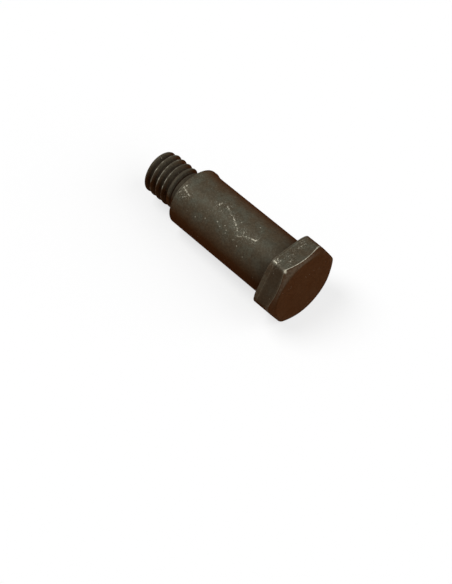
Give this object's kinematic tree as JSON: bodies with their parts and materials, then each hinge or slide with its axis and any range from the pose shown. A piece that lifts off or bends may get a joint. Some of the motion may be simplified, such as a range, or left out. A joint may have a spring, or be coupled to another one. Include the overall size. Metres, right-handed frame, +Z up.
{
  "type": "hexagon head shoulder bolt",
  "caption": "Dark oxide-finished shoulder bolt: chamfered hexagon head, long plain shoulder, short neck and coarse right-hand thread with a run-out and chamfered tip.",
  "frame": {"origin": "on the table under the middle of the lying bolt", "axes": "+X from the head towards the tip of the thread along the table, +Z up; the bolt's own axis falls towards the thread by the small angle at which it comes to rest"},
  "size_m": [0.0414, 0.018, 0.0161],
  "materials": {
    "oxide_steel": "worn brown-black oxide on steel, satin, with pale scratches and rubbed edges"
  },
  "bodies": {
    "root": {"shoulder_bolt": "oxide_steel"}
  },
  "joints": []
}
